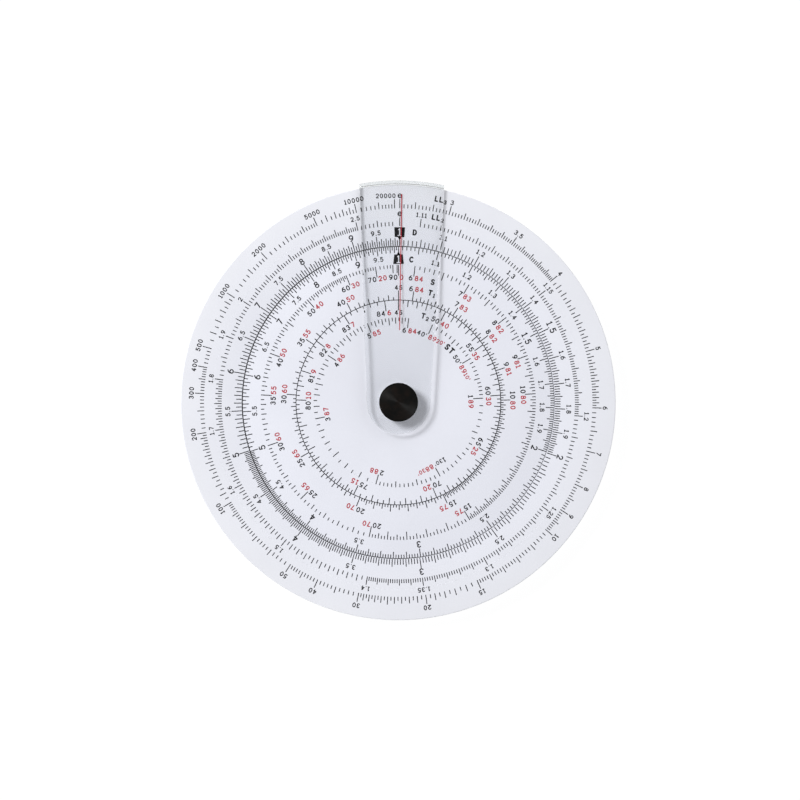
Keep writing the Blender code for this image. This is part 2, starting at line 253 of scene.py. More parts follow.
def acrylic_material(name):
    """Clear polished acrylic with faint scratches and smears. It lets light through to what lies below."""
    material, tree, shader, place = start_material(name)
    drawn_out = node(tree, "Mapping", {"Vector": place, "Scale": (1.0, 0.09, 1.0)}).outputs[0]
    cells = {"Vector": drawn_out, "Scale": 0.55}
    scratch = node(tree, "TexVoronoi", cells, feature="DISTANCE_TO_EDGE").outputs["Distance"]
    patch = remap(tree, noise(tree, place, 0.16, 2.0), 0.5, 0.68)
    line = times(tree, remap(tree, scratch, 0.0, 0.006, 1.0, 0.0), patch)
    height = minus(tree, times(tree, noise(tree, place, 0.05, 1.0), 2.0), times(tree, line, 0.2))
    set_bump(tree, shader, height, 0.01 * MM, 0.5)
    normal = node(tree, "NewGeometry").outputs["True Normal"]
    upright = math_node(tree, "ABSOLUTE", node(tree, "SeparateXYZ", {0: normal}).outputs["Z"])
    sawn = remap(tree, upright, 0.25, 0.75, 1.0, 0.0)
    smear = remap(tree, noise(tree, place, 0.22, 4.0, 0.65), 0.45, 0.75, 0.0, 0.07)
    polished = plus(tree, plus(tree, smear, 0.015), times(tree, line, 0.15))
    link_inputs(tree, shader, Roughness=plus(tree, polished, times(tree, sawn, 0.22)))
    link_inputs(tree, shader, IOR=1.49, Transmission_Weight=remap(tree, sawn, 0.0, 1.0, 1.0, 0.45))
    tone = mixed(tree, smear, (0.975, 0.985, 0.99, 1.0), (0.90, 0.92, 0.94, 1.0))
    link_inputs(tree, shader, Base_Color=tone)
    passed = remap(tree, upright, 0.90, 0.995, EDGE_PASSES, FACE_PASSES)
    light_tint = node(tree, "CombineColor", {0: passed, 1: passed, 2: passed}).outputs[0]
    clear = node(tree, "BsdfTransparent", {"Color": light_tint}).outputs[0]
    rays = node(tree, "LightPath").outputs
    indirect = math_node(tree, "MAXIMUM", rays["Is Shadow Ray"], rays["Is Diffuse Ray"])
    blend = node(tree, "MixShader", {0: indirect, 1: shader.outputs[0], 2: clear})
    tree.links.new(blend.outputs[0], tree.nodes["Material Output"].inputs["Surface"])
    return material


def anodised_material(name):
    """Black anodised aluminium off a lathe: it glints in a bow tie, and is worn brown in places."""
    material, tree, shader, place = start_material(name)
    rings = rub_rings(tree, place, 0.05, 7.0)
    worn = remap(tree, noise(tree, place, 0.35, 4.0, 0.6), 0.48, 0.75, 0.0, 0.8)
    tone = mixed(tree, worn, (0.0030, 0.0030, 0.0028, 1.0), (0.013, 0.008, 0.006, 1.0))
    dust = times(tree, specks(tree, place, 2.2, 0.06), 0.5)
    tone = mixed(tree, dust, tone, (0.22, 0.20, 0.17, 1.0))
    set_bump(tree, shader, plus(tree, rings, noise(tree, place, 9.0)), 0.002 * MM, 0.5)
    roughness = remap(tree, noise(tree, place, 1.2, 4.0), 0.3, 0.7, 0.32, 0.44)
    tangent = node(tree, "Tangent", direction_type="RADIAL", axis="Z").outputs[0]
    link_inputs(tree, shader, Base_Color=tone, Roughness=roughness, Specular_IOR_Level=0.17)
    link_inputs(tree, shader, Anisotropic=0.85, Anisotropic_Rotation=0.25, Tangent=tangent)
    return material


def nylon_material(name):
    """Natural nylon: milky, with moulding flow and a dull sheen."""
    material, tree, shader, place = start_material(name)
    flow = remap(tree, noise(tree, place, 0.8, 4.0), 0.3, 0.7)
    set_bump(tree, shader, noise(tree, place, 14.0), 0.004 * MM, 0.6)
    roughness = remap(tree, noise(tree, place, 2.0), 0.3, 0.7, 0.42, 0.58)
    tone = mixed(tree, flow, (0.86, 0.86, 0.84, 1.0), (0.76, 0.75, 0.71, 1.0))
    link_inputs(tree, shader, Base_Color=tone, Roughness=roughness)
    return material


def turned_metal_material(name, bright, dull):
    """Bare turned metal with fine rings and patches of tarnish."""
    material, tree, shader, place = start_material(name)
    tarnish = remap(tree, noise(tree, place, 1.1, 5.0, 0.6), 0.35, 0.75)
    set_bump(tree, shader, rub_rings(tree, place, 0.04, 1.0), 0.004 * MM, 0.8)
    roughness = plus(tree, times(tree, tarnish, 0.2), 0.24)
    tone = mixed(tree, tarnish, bright, dull)
    link_inputs(tree, shader, Base_Color=tone, Metallic=1.0, Roughness=roughness)
    return material


WHITE_VINYL = vinyl_material("white_vinyl", (0.832, 0.846, 0.925, 1.0), (0.850, 0.860, 0.915, 1.0), 9.0)
CORE_VINYL = vinyl_material("core_vinyl", (0.74, 0.75, 0.77, 1.0), (0.66, 0.67, 0.69, 1.0), 5.0)
BLACK_INK = ink_material("black_ink", (0.003, 0.003, 0.004, 1.0), (0.012, 0.012, 0.015, 1.0))
RED_INK = ink_material("red_ink", (0.44, 0.022, 0.038, 1.0), (0.54, 0.06, 0.075, 1.0))
ACRYLIC = acrylic_material("clear_acrylic")
ANODISED = anodised_material("black_anodised")
NYLON = nylon_material("nylon")
BRASS = turned_metal_material("brass", (0.75, 0.56, 0.26, 1.0), (0.45, 0.31, 0.13, 1.0))
STEEL = turned_metal_material("steel", (0.66, 0.66, 0.67, 1.0), (0.44, 0.43, 0.42, 1.0))
INKS = (("black", BLACK_INK, "white_vinyl"), ("red", RED_INK, "red_ink"))  # colour, material and slot


# ---------- pieces

SHARP_EDGE = math.radians(35)


def turned_over(mesh):
    """A copy of a front-face mesh for the back face: turned half round about Y, on the mid-plane."""
    back = mesh.copy()
    back.transform(Matrix.Rotation(math.pi, 4, "Y"))
    return back


def add_object(name, data):
    made = bpy.data.objects.new(name, data)
    bpy.context.scene.collection.objects.link(made)
    return made


def add_piece(name, mesh, material, body):
    """Puts a mesh, made with its heights from the mid-plane, in its place on a body."""
    mesh.name = name
    mesh.materials.clear()
    mesh.materials.append(material)
    mesh.transform(Matrix.Translation((0, 0, MID_PLANE)))
    mesh.shade_smooth()
    mesh.set_sharp_from_angle(angle=SHARP_EDGE)
    piece = add_object(name, mesh)
    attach(piece, body)
    return piece


def stand_in(node_name, mesh, material):
    """A finer shape in place of one of the model's nodes, on the node's own body, in the material it is
    given.
    """
    record = frame["record"]
    body = next(body for body, names in record["behaviour"]["bodies"].items() if node_name in names)
    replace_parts(add_piece(node_name + "_shape", mesh, material, body), node_name)


def add_pair(name, mesh, material):
    """The same piece on the front and on the back. The name holds a star where the side's name goes."""
    back = turned_over(mesh)
    stand_in(name.replace("*", "front"), mesh, material)
    stand_in(name.replace("*", "back"), back, material)


def make_mesh(verts, faces):
    """A mesh with its faces turned outwards."""
    mesh = bpy.data.meshes.new("shape")
    mesh.from_pydata([tuple(v) for v in verts], [], faces)
    bm = bmesh.new()
    bm.from_mesh(mesh)
    bmesh.ops.remove_doubles(bm, verts=bm.verts, dist=1e-8)
    bmesh.ops.recalc_face_normals(bm, faces=bm.faces)
    bm.to_mesh(mesh)
    bm.free()
    return mesh


def tube_mesh(loops):
    """A mesh through loops of as many points each, joined one to the next and the last to the first."""
    count = len(loops[0])
    verts = np.concatenate(loops)
    faces = []
    for i in range(len(loops)):
        this, following = i * count, (i + 1) % len(loops) * count
        for k in range(count):
            after = (k + 1) % count
            faces.append((this + k, this + after, following + after, following + k))
    return make_mesh(verts, faces)


def lathe(profile, segments):
    """A solid turned about Z from a closed profile of (radius, height) points."""
    angles = np.arange(segments) * TURN / segments
    loops = []
    for radius, height in profile:
        heights = np.full(segments, height)
        loops.append(np.stack([radius * np.cos(angles), radius * np.sin(angles), heights], 1))
    return tube_mesh(loops)


def lathe_from_axis(profile, segments):
    """A solid turned about Z from a profile whose first and last points lie on the axis."""
    angles = np.arange(segments) * TURN / segments
    verts = [(0.0, 0.0, profile[0][1]), (0.0, 0.0, profile[-1][1])]
    for radius, height in profile[1:-1]:
        verts += [(radius * math.cos(a), radius * math.sin(a), height) for a in angles]
    faces = []
    last = 2 + (len(profile) - 3) * segments
    for k in range(segments):
        after = (k + 1) % segments
        faces.append((0, 2 + k, 2 + after))
        faces.append((1, last + after, last + k))
        for start in range(2, last, segments):
            faces.append((start + k, start + segments + k, start + segments + after, start + after))
    return make_mesh(verts, faces)


def rounded(corners, steps=4):
    """The profile with each (radius, height, fillet) corner rounded by its fillet."""
    points = []
    for i, (x, y, fillet) in enumerate(corners):
        here = Vector((x, y))
        if fillet == 0:
            points.append((x, y))
            continue
        to_last = (Vector(corners[i - 1][:2]) - here).normalized()
        to_next = (Vector(corners[(i + 1) % len(corners)][:2]) - here).normalized()
        half = to_last.angle(to_next) / 2
        reach = fillet / math.tan(half)
        centre = here + (to_last + to_next).normalized() * fillet / math.sin(half)
        first = here + to_last * reach - centre
        last = here + to_next * reach - centre
        sweep = first.angle_signed(last)
        for k in range(steps + 1):
            turn = -sweep * k / steps
            spoke = Vector((first.x * math.cos(turn) - first.y * math.sin(turn),
                            first.x * math.sin(turn) + first.y * math.cos(turn)))
            points.append(tuple(centre + spoke))
    return points


def slab(inner, outer, low, high, fillets, steps=4):
    """A flat ring's profile. Its fillets, in mm, go from the inner low corner out and up and back in."""
    corners = ((inner, low), (outer, low), (outer, high), (inner, high))
    return rounded([(x, y, fillet * MM) for (x, y), fillet in zip(corners, fillets)], steps)


# ---------- ring and dial

SHEET_SEGMENTS = 384
HUB_SEGMENTS = 128
CORE_INSET = 0.02 * MM  # of the ring's core from the rim


def add_sheets():
    """The printed sheets, with a rounded rim and eased seam edges, and the middle layers between them."""
    ring = slab(DIAL_RADIUS + SEAM_GAP, RIM_RADIUS, SHEET_BASE, HALF_BODY, (0, 0.03, 0.28, 0.06), 6)
    add_pair("ring_*_sheet", lathe(ring, SHEET_SEGMENTS), WHITE_VINYL)
    dial = slab(DIAL_BORE_RADIUS, DIAL_RADIUS, SHEET_BASE, HALF_BODY, (0, 0, 0.06, 0.1))
    add_pair("dial_*_sheet", lathe(dial, SHEET_SEGMENTS), WHITE_VINYL)
    core = slab(GROOVE_RADIUS, RIM_RADIUS - CORE_INSET, -CORE_HALF, CORE_HALF, (0, 0.05, 0.05, 0))
    stand_in("ring_core", lathe(core, SHEET_SEGMENTS), CORE_VINYL)
    lower = [
        (DIAL_BORE_RADIUS, -CORE_HALF, 0),
        (TONGUE_STEP_RADIUS, -CORE_HALF, 0),
        (TONGUE_STEP_RADIUS, -TONGUE_HALF, 0),
        (TONGUE_RADIUS, -TONGUE_HALF, 0.1 * MM),
    ]
    upper = [(radius, -height, fillet) for radius, height, fillet in reversed(lower)]
    stand_in("dial_core", lathe(rounded(lower + upper), SHEET_SEGMENTS), CORE_VINYL)


# ---------- cursor

HUB_STEPS = 56
SIDE_STEPS = 30
END_STEPS = 28
BLADE_ROWS = 26
BLADE_TOP_FILLET = 0.13 * MM
BLADE_FOOT_FILLET = 0.08 * MM
FILLET_STEPS = 5
BRIDGE_BEVEL = 0.07 * MM


def bow(y):
    """Height of a blade's underside above the face, at a distance y from the pivot: a clamped beam's S."""
    s = np.clip((y - BOW_START) / (BOW_END - BOW_START), 0.0, 1.0)
    return HUB_LIFT + (RIM_LIFT - HUB_LIFT) * s * s * (3 - 2 * s)


def blade_loop(inset):
    """The blade's outline moved inwards: round hub end, right side, end round the rim, left side."""
    lean = math.asin(BLADE_END_HALF_WIDTH / BLADE_END_RADIUS)
    lean -= math.asin(BLADE_HUB_RADIUS / BLADE_END_RADIUS)
    hub, end = BLADE_HUB_RADIUS - inset, BLADE_END_RADIUS - inset
    corner = lean + math.asin(hub / end)

    def spaced(steps):
        return (np.arange(steps) / steps)[:, None]

    def on_circle(radius, start, stop, steps):
        angle = start + (stop - start) * spaced(steps)
        return radius * np.concatenate([np.cos(angle), np.sin(angle)], 1)

    right_foot = hub * np.array([math.cos(lean), -math.sin(lean)])
    right_corner = end * np.array([math.sin(corner), math.cos(corner)])
    left_foot, left_corner = right_foot * (-1, 1), right_corner * (-1, 1)
    return np.concatenate([
        on_circle(hub, math.pi + lean, TURN - lean, HUB_STEPS),
        right_foot + (right_corner - right_foot) * spaced(SIDE_STEPS),
        on_circle(end, math.pi / 2 - corner, math.pi / 2 + corner, END_STEPS),
        left_corner + (left_foot - left_corner) * spaced(SIDE_STEPS),
    ])


def bowed(flat, height):
    """Points of the blade at a height above its underside, lifted by its bow."""
    z = HALF_BODY + height + bow(flat[:, 1])
    return np.concatenate([flat, z[:, None]], 1)


def blade_mesh():
    """One blade as loops that run over its top, round its polished edge, back under it and up its bore."""
    loops = []
    sides = ((BLADE_THICKNESS, BLADE_TOP_FILLET, 1), (0.0, BLADE_FOOT_FILLET, -1))
    for level, fillet, way in sides:
        inner = blade_loop(fillet)
        bore = BLADE_BORE_RADIUS * inner / np.linalg.norm(inner, axis=1)[:, None]
        side = [bowed(bore + (inner - bore) * i / BLADE_ROWS, level) for i in range(BLADE_ROWS)]
        for k in range(FILLET_STEPS + 1):
            turn = k / FILLET_STEPS * math.pi / 2
            drop = fillet * (1 - math.cos(turn))
            side.append(bowed(blade_loop(fillet * (1 - math.sin(turn))), level - way * drop))
        loops += side if way > 0 else side[::-1]
    return tube_mesh(loops)


def bridge_mesh():
    """The curved block past the rim, with its edges broken."""
    corner = math.asin(BLADE_END_HALF_WIDTH / BLADE_END_RADIUS)
    angles = np.linspace(math.pi / 2 - corner, math.pi / 2 + corner, END_STEPS + 1)
    places = [(BLADE_END_RADIUS, a) for a in angles] + [(BRIDGE_INNER_RADIUS, a) for a in reversed(angles)]
    bm = bmesh.new()
    corners = [(r * math.cos(a), r * math.sin(a), -BRIDGE_HALF_HEIGHT) for r, a in places]
    face = bm.faces.new([bm.verts.new(corner) for corner in corners])
    raised = bmesh.ops.extrude_face_region(bm, geom=[face])["geom"]
    top = [g for g in raised if isinstance(g, bmesh.types.BMVert)]
    bmesh.ops.translate(bm, vec=(0, 0, 2 * BRIDGE_HALF_HEIGHT), verts=top)
    bmesh.ops.recalc_face_normals(bm, faces=bm.faces)
    sharp = [e for e in bm.edges if e.calc_face_angle() > SHARP_EDGE]
    bmesh.ops.bevel(bm, geom=sharp, offset=BRIDGE_BEVEL, segments=3, affect="EDGES", profile=0.5)
    mesh = bpy.data.meshes.new("bridge")
    bm.to_mesh(mesh)
    bm.free()
    return mesh


def add_cursor():
    add_pair("cursor_*_blade", blade_mesh(), ACRYLIC)
    stand_in("cursor_bridge", bridge_mesh(), ACRYLIC)


# ---------- pivot

GROOVE_PITCH = 0.17 * MM
GROOVE_DEPTH = 0.006 * MM
GROOVE_POINTS = 5
PLAIN_EDGE = 0.24 * MM  # how wide a band round the knob's face has no grooves
STACK_GAP = 0.05 * MM
NECK_CLEARANCE = 0.1 * MM


def knob_profile():
    """A turned cap: from the axis out over its finely grooved face, down its side and back to its bore."""
    edge = KNOB_RADIUS - PLAIN_EDGE
    count = round(edge / GROOVE_PITCH) * GROOVE_POINTS
    face = []
    for i in range(count):
        radius = edge * i / count
        dip = 0.5 - 0.5 * math.cos(TURN * i / GROOVE_POINTS)
        face.append((radius, KNOB_TOP - GROOVE_DEPTH * dip))
    base = WASHER_BOX[1].z - MID_PLANE + STACK_GAP
    rest = [
        (0.0, KNOB_TOP, 0),
        (KNOB_RADIUS, KNOB_TOP, 0.17 * MM),
        (KNOB_RADIUS, base, 0.06 * MM),
        (NECK_RADIUS, base, 0),
        (NECK_RADIUS, KNOB_FOOT, 0.1 * MM),
        (NECK_BORE_RADIUS, KNOB_FOOT, 0.05 * MM),
        (NECK_BORE_RADIUS, NECK_BORE_TOP, 0),
        (0.0, NECK_BORE_TOP, 0),
    ]
    return face + rounded(rest, 6)[1:]


def disc_profile(box, fillet):
    """A washer's profile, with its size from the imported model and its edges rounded."""
    low, high = box[0].z - MID_PLANE, box[1].z - MID_PLANE
    outer, inner = box[1].y, NECK_RADIUS + NECK_CLEARANCE
    return slab(inner, outer, low, high, (fillet,) * 4)


def add_pivot():
    add_pair("*_knob", lathe_from_axis(knob_profile(), HUB_SEGMENTS), ANODISED)
    add_pair("*_knob_washer", lathe(disc_profile(WASHER_BOX, 0.04), HUB_SEGMENTS), NYLON)
    for name, box in (("front_spacer", SPACER_BOX), ("back_spacer", BACK_SPACER_BOX)):
        stand_in(name, lathe(disc_profile(box, 0.08), HUB_SEGMENTS), NYLON)


# ---------- lettering

def ellipse(cx, cy, rx, ry, start, end, steps=16):
    """Points on an ellipse between two angles in degrees from +X."""
    angles = [math.radians(start + (end - start) * i / steps) for i in range(steps + 1)]
    return [(cx + rx * math.cos(a), cy + ry * math.sin(a)) for a in angles]


def glyph_lines():
    """Centre lines of a plain drawing-office lettering, one unit tall: character to (width, lines)."""
    six = [ellipse(0.31, 0.3, 0.31, 0.3, 0, 360), ellipse(0.56, 0.3, 0.56, 0.7, 180, 98, 8)]
    nine = [[(0.62 - x, 1 - y) for x, y in line] for line in six]
    stem = [(0, 0), (0, 1)]
    return {
        "0": (0.62, [ellipse(0.31, 0.5, 0.31, 0.5, 0, 360, 20)]),
        "1": (0.38, [[(0.04, 0.84), (0.2, 1), (0.2, 0)], [(0.02, 0), (0.38, 0)]]),
        "2": (0.6, [ellipse(0.3, 0.7, 0.29, 0.3, 165, -38, 12) + [(0, 0), (0.6, 0)]]),
        "3": (0.58, [ellipse(0.28, 0.765, 0.26, 0.235, 150, -90, 12),
                     ellipse(0.28, 0.265, 0.3, 0.265, 90, -150, 12)]),
        "4": (0.64, [[(0.46, 0), (0.46, 1), (0, 0.3), (0.64, 0.3)]]),
        "5": (0.6, [[(0.54, 1), (0.11, 1), (0.06, 0.55)], ellipse(0.28, 0.32, 0.31, 0.32, 133, -150, 14)]),
        "6": (0.62, six),
        "7": (0.58, [[(0, 1), (0.58, 1), (0.2, 0)]]),
        "8": (0.62, [ellipse(0.31, 0.76, 0.25, 0.24, 0, 360), ellipse(0.31, 0.265, 0.31, 0.265, 0, 360)]),
        "9": (0.62, nine),
        ".": (0.06, [[(0.03, 0), (0.03, 0.03)]]),
        "'": (0.06, [[(0.03, 0.74), (0.06, 1)]]),
        "°": (0.22, [ellipse(0.11, 0.86, 0.11, 0.12, 0, 360, 10)]),
        "e": (0.56, [ellipse(0.28, 0.31, 0.28, 0.31, 0, 318, 14), [(0, 0.31), (0.56, 0.31)]]),
        "A": (0.62, [[(0, 0), (0.31, 1), (0.62, 0)], [(0.1, 0.34), (0.52, 0.34)]]),
        "B": (0.56, [stem,
                     [(0, 1)] + ellipse(0.26, 0.77, 0.24, 0.23, 90, -90, 10) + [(0, 0.54)],
                     ellipse(0.28, 0.27, 0.28, 0.27, 90, -90, 10) + [(0, 0)]]),
        "C": (0.6, [ellipse(0.36, 0.5, 0.36, 0.5, 50, 310, 16)]),
        "D": (0.6, [stem, [(0, 1)] + ellipse(0.2, 0.5, 0.4, 0.5, 90, -90, 12) + [(0, 0)]]),
        "I": (0.04, [[(0.02, 0), (0.02, 1)]]),
        "K": (0.56, [stem, [(0.54, 1), (0, 0.38)], [(0.17, 0.57), (0.56, 0)]]),
        "L": (0.5, [[(0, 1), (0, 0), (0.5, 0)]]),
        "S": (0.58, [ellipse(0.29, 0.75, 0.27, 0.25, 35, 270, 12)
                     + ellipse(0.29, 0.25, 0.29, 0.25, 90, -145, 12)[1:]]),
        "T": (0.6, [[(0, 1), (0.6, 1)], [(0.3, 1), (0.3, 0)]]),
    }


GLYPHS = glyph_lines()
SHARP_TURN = math.radians(42)


def split_at_corners(line):
    """The line cut into parts wherever it turns sharply, so that each part can have round ends."""
    parts, current = [], [line[0]]
    for i in range(1, len(line) - 1):
        current.append(line[i])
        before = Vector(line[i]) - Vector(line[i - 1])
        after = Vector(line[i + 1]) - Vector(line[i])
        if before.length > 0 and after.length > 0 and before.angle(after) > SHARP_TURN:
            parts.append(current)
            current = [line[i]]
    parts.append(current + [line[-1]])
    return parts


def ribbon(line, width):
    """Polygons that cover a pen's stroke along a line: a quad for each step, and a dot at each open end."""
    points = [Vector(p) for p in line]
    closed = (points[0] - points[-1]).length < 1e-6
    if closed:
        points = points[:-1]
    count = len(points)
    sides = []
    for i, point in enumerate(points):
        last = points[i - 1] if closed or i > 0 else None
        following = points[(i + 1) % count] if closed or i < count - 1 else None
        into = (point - last).normalized() if last else (following - point).normalized()
        out = (following - point).normalized() if following else into
        middle = (into + out).normalized()
        reach = width / 2 / max(0.5, middle.dot(out))
        normal = Vector((-middle.y, middle.x)) * reach
        sides.append((point + normal, point - normal))
    polygons = []
    for i in range(count if closed else count - 1):
        a, b = sides[i], sides[(i + 1) % count]
        polygons.append([a[1], b[1], b[0], a[0]])
    if not closed:
        angles = [k * TURN / 10 for k in range(10)]
        spokes = [Vector((math.cos(a), math.sin(a))) * width / 2 for a in angles]
        for end in (points[0], points[-1]):
            polygons.append([end + spoke for spoke in spokes])
    return polygons


class Shape:
    """A flat shape made of overlapping polygons, less some others, ready to be printed as a thin solid."""

    def __init__(self, polygons, holes=()):
        verts, faces = [], []
        for polygon in list(polygons) + list(holes):
            around = sum(a[0] * b[1] - b[0] * a[1] for a, b in zip(polygon, polygon[1:] + polygon[:1]))
            faces.append(list(range(len(verts), len(verts) + len(polygon))))
            verts += [Vector(p) for p in (polygon if around > 0 else polygon[::-1])]
        points, _, triangles, _, _, origins = delaunay_2d_cdt(verts, [], faces, 1, 1e-6)
        kept = [t for t, covers in zip(triangles, origins) if covers and max(covers) < len(polygons)]
        used = sorted({v for triangle in kept for v in triangle})
        new_index = {old: new for new, old in enumerate(used)}
        self.points = np.array([points[v][:] for v in used])
        top = [[new_index[v] for v in triangle] for triangle in kept]
        self.faces = self.solid_faces(top, len(used))

    @staticmethod
    def solid_faces(top, count):
        """Triangles of the solid whose lower points come first and whose upper points follow."""
        directed = {(t[k], t[(k + 1) % 3]) for t in top for k in range(3)}
        walls = []
        for a, b in directed:
            if (b, a) not in directed:
                walls += [(a, b, b + count), (a, b + count, a + count)]
        raised = [tuple(v + count for v in t) for t in top]
        lowered = [tuple(reversed(t)) for t in top]
        return np.array(raised + lowered + sorted(walls))


@functools.cache
def glyph_shape(character, pen):
    """The shape of one character, one unit tall over all, drawn with a pen of the given width."""
    polygons = []
    for line in GLYPHS[character][1]:
        scaled = [(x * (1 - pen) + pen / 2, y * (1 - pen) + pen / 2) for x, y in line]
        for part in split_at_corners(scaled):
            polygons += ribbon(part, pen)
    return Shape(polygons)


def glyph_width(character, pen):
    return GLYPHS[character][0] * (1 - pen) + pen


def word_width(words, height, pen):
    return (sum(glyph_width(c, pen) for c in words) + LETTER_GAP * (len(words) - 1)) * height


# ---------- printing

# Prints are laid out in millimetres
INK_SPAN = (HALF_BODY / MM - 0.004, HALF_BODY / MM + 0.016)  # from just within its sheet to the ink's face
TICK_WIDTH = 0.215
TANGENT_CIRCLE = 25.88  # radius of the printed circle that both tangent scales stand on
CIRCLE_WIDTH = 0.18
LETTER_GAP = 0.19  # of the lettering's height
SMALL_PEN = 0.18  # pen width, of the lettering's height
BOLD_PEN = 0.23
MARK_GAP = 0.28  # between a division and a number beside it
LINE = Shape([[(-0.5, 0.0), (0.5, 0.0), (0.5, 1.0), (-0.5, 1.0)]])


class Print:
    """What one ink prints on one face of the ring or of the dial."""

    def __init__(self, offset):
        self.offset = offset
        self.points, self.faces, self.total = [], [], 0

    def stamp(self, shape, turn, radius, width, height, shift=0.0):
        """Prints a shape at an angle, its foot at a radius, its up pointing outwards."""
        angle = (turn + self.offset) * TURN
        x = shape.points[:, 0] * width + shift
        y = shape.points[:, 1] * height + radius
        cos, sin = math.cos(angle), math.sin(angle)
        flat = np.stack([x * cos + y * sin, y * cos - x * sin], 1)
        for z in INK_SPAN:
            self.points.append(np.concatenate([flat, np.full((len(flat), 1), z)], 1))
        self.faces.append(shape.faces + self.total)
        self.total += 2 * len(flat)

    def tick(self, turn, foot, length, width=TICK_WIDTH):
        """A division line. A negative length runs inwards from its foot."""
        self.stamp(LINE, turn, min(foot, foot + length), width, abs(length))

    def text(self, words, turn, radius, height, pen=SMALL_PEN, anchor=0, gap=0.0):
        """A word that stands on a radius: centred on its angle, or ending (-1) or starting (+1) at it."""
        widths = [glyph_width(c, pen) * height for c in words]
        total = word_width(words, height, pen)
        x = {-1: -total - gap, 0: -total / 2, 1: gap}[anchor]
        for character, width in zip(words, widths):
            self.stamp(glyph_shape(character, pen), turn, radius, height, height, x)
            x += width + LETTER_GAP * height

    def circle(self, radius, width, segments=480):
        """A printed circle round the pivot."""
        angles = np.arange(segments) * TURN / segments
        loops = []
        for r in (radius - width / 2, radius + width / 2):
            for z in INK_SPAN:
                loops.append(np.stack([r * np.cos(angles), r * np.sin(angles), np.full(segments, z)], 1))
        inner_low, inner_high, outer_low, outer_high = (i * segments for i in range(4))
        k = np.arange(segments)
        after = (k + 1) % segments
        faces = ((inner_high, outer_high), (outer_low, inner_low))
        walls = ((inner_low, inner_high), (outer_high, outer_low))
        for a, b in faces + walls:
            self.faces.append(self.total + np.stack([a + k, b + k, b + after], 1))
            self.faces.append(self.total + np.stack([a + k, b + after, a + after], 1))
        self.points += loops
        self.total += 4 * segments

    def mesh(self):
        mesh = bpy.data.meshes.new("print")
        points, faces = np.concatenate(self.points) * MM, np.concatenate(self.faces)
        mesh.from_pydata(points.tolist(), [], faces.tolist())
        return mesh


def draw_scale(ink, turn_of, spans, labelled, foot, way, lengths):
    """A scale's divisions. A span is (from, to, step, medium every, long every). Way is 1 out or -1 in."""
    short, medium, long, longest = (way * length for length in lengths)
    for start, end, step, medium_step, long_step in spans:
        for i in range(round((end - start) / step)):
            value = start + i * step
            if any(abs(value - mark) < step / 4 for mark in labelled):
                continue
            length = short
            for every, its_length in ((medium_step, medium), (long_step, long)):
                if every and abs(value / every - round(value / every)) < 1e-4:
                    length = its_length
            ink.tick(turn_of(value), foot, length)
    for mark in labelled:
        ink.tick(turn_of(mark), foot, longest)


def draw_labels(ink, turn_of, marks, radius, height, pen=SMALL_PEN):
    """Each mark's own number, centred on its division."""
    for mark in marks:
        ink.text(f"{mark:g}", turn_of(mark), radius, height, pen)


def draw_angle_labels(black, red, turn_of, marks, radius, height=1.36):
    """An angle in black before its division, and after it in red what is left of 90 degrees."""
    for mark in marks:
        turn = turn_of(mark)
        black.text(f"{mark:g}", turn, radius, height, anchor=-1, gap=MARK_GAP)
        red.text(f"{90 - mark:g}", turn, radius, height, anchor=1, gap=MARK_GAP)


def draw_minutes(ink, turn, angle, anchor, radius=17.65):
    """An angle given in minutes, as whole degrees and then smaller minutes, on one side of its division."""
    parts = [(f"{angle // 60}", 1.32)] if angle >= 60 else []
    if angle % 60:
        parts.append((f"{angle % 60}'", 1.08 if parts else 1.25))
    gap = MARK_GAP
    for words, height in parts[::anchor]:
        ink.text(words, turn, radius, height, anchor=anchor, gap=gap)
        gap += word_width(words, height, SMALL_PEN) + 0.2


def draw_index(ink, box_low, box_high, low_half, high_half, tip):
    """The index: a black box, wider at one end, with a 1 left clear in it and a point towards the seam."""
    middle = (box_low + box_high) / 2
    box = [(-low_half, box_low), (low_half, box_low), (high_half, box_high), (-high_half, box_high)]
    edge = box_low if tip < box_low else box_high
    inside = edge + (0.2 if tip < box_low else -0.2)
    point = [(-0.55, inside), (0.0, tip), (0.55, inside)]
    half = 0.85
    strokes = [[(-0.24, 0.62), (0.02, half), (0.02, -half)], [(-0.36, -half), (0.40, -half)]]
    one = []
    for line in strokes:
        for part in split_at_corners([(x, y + middle) for x, y in line]):
            one += ribbon(part, 0.27)
    ink.stamp(Shape([box, point], one), 0.0, 0.0, 1.0, 1.0)


# Where each kind of number stands, in turns from the index

def decades_in(count):
    """Numbers by their logarithms, with so many decades round the rule; below zero they run backwards."""
    return lambda x: math.log10(x) / count


def linear(x):
    return x


def angles_by(ratio, scale):
    """Angles in degrees, by the logarithm of their sine or tangent times a power of ten."""
    return lambda x: math.log10(scale * ratio(math.radians(x)))


def log_logs(scale):
    """Numbers by the logarithm of their natural logarithm times a power of ten."""
    return lambda x: math.log10(scale * math.log(x))


plain, squares, cubes, inverse = decades_in(1), decades_in(2), decades_in(3), decades_in(-1)
sines, small_angles = angles_by(math.sin, 10), angles_by(math.sin, 100)
low_tangents, high_tangents = angles_by(math.tan, 10), angles_by(math.tan, 1)
log_log_low, log_log_high = log_logs(10), log_logs(1)

RING_OFFSET = -0.51 / 360  # how far the ring's index stands clockwise from the cursor at rest
DIAL_OFFSET = -0.86 / 360  # and the dial's
OUTER = (49.1, 1, (1.0, 1.7, 2.0, 2.3))  # the foot, way and tick lengths of the ring's outer scale
MIDDLE = (44.65, 1, (1.0, 1.6, 1.85, 2.1))  # and of its middle one
MINUTE = 1 / 60
E = math.e

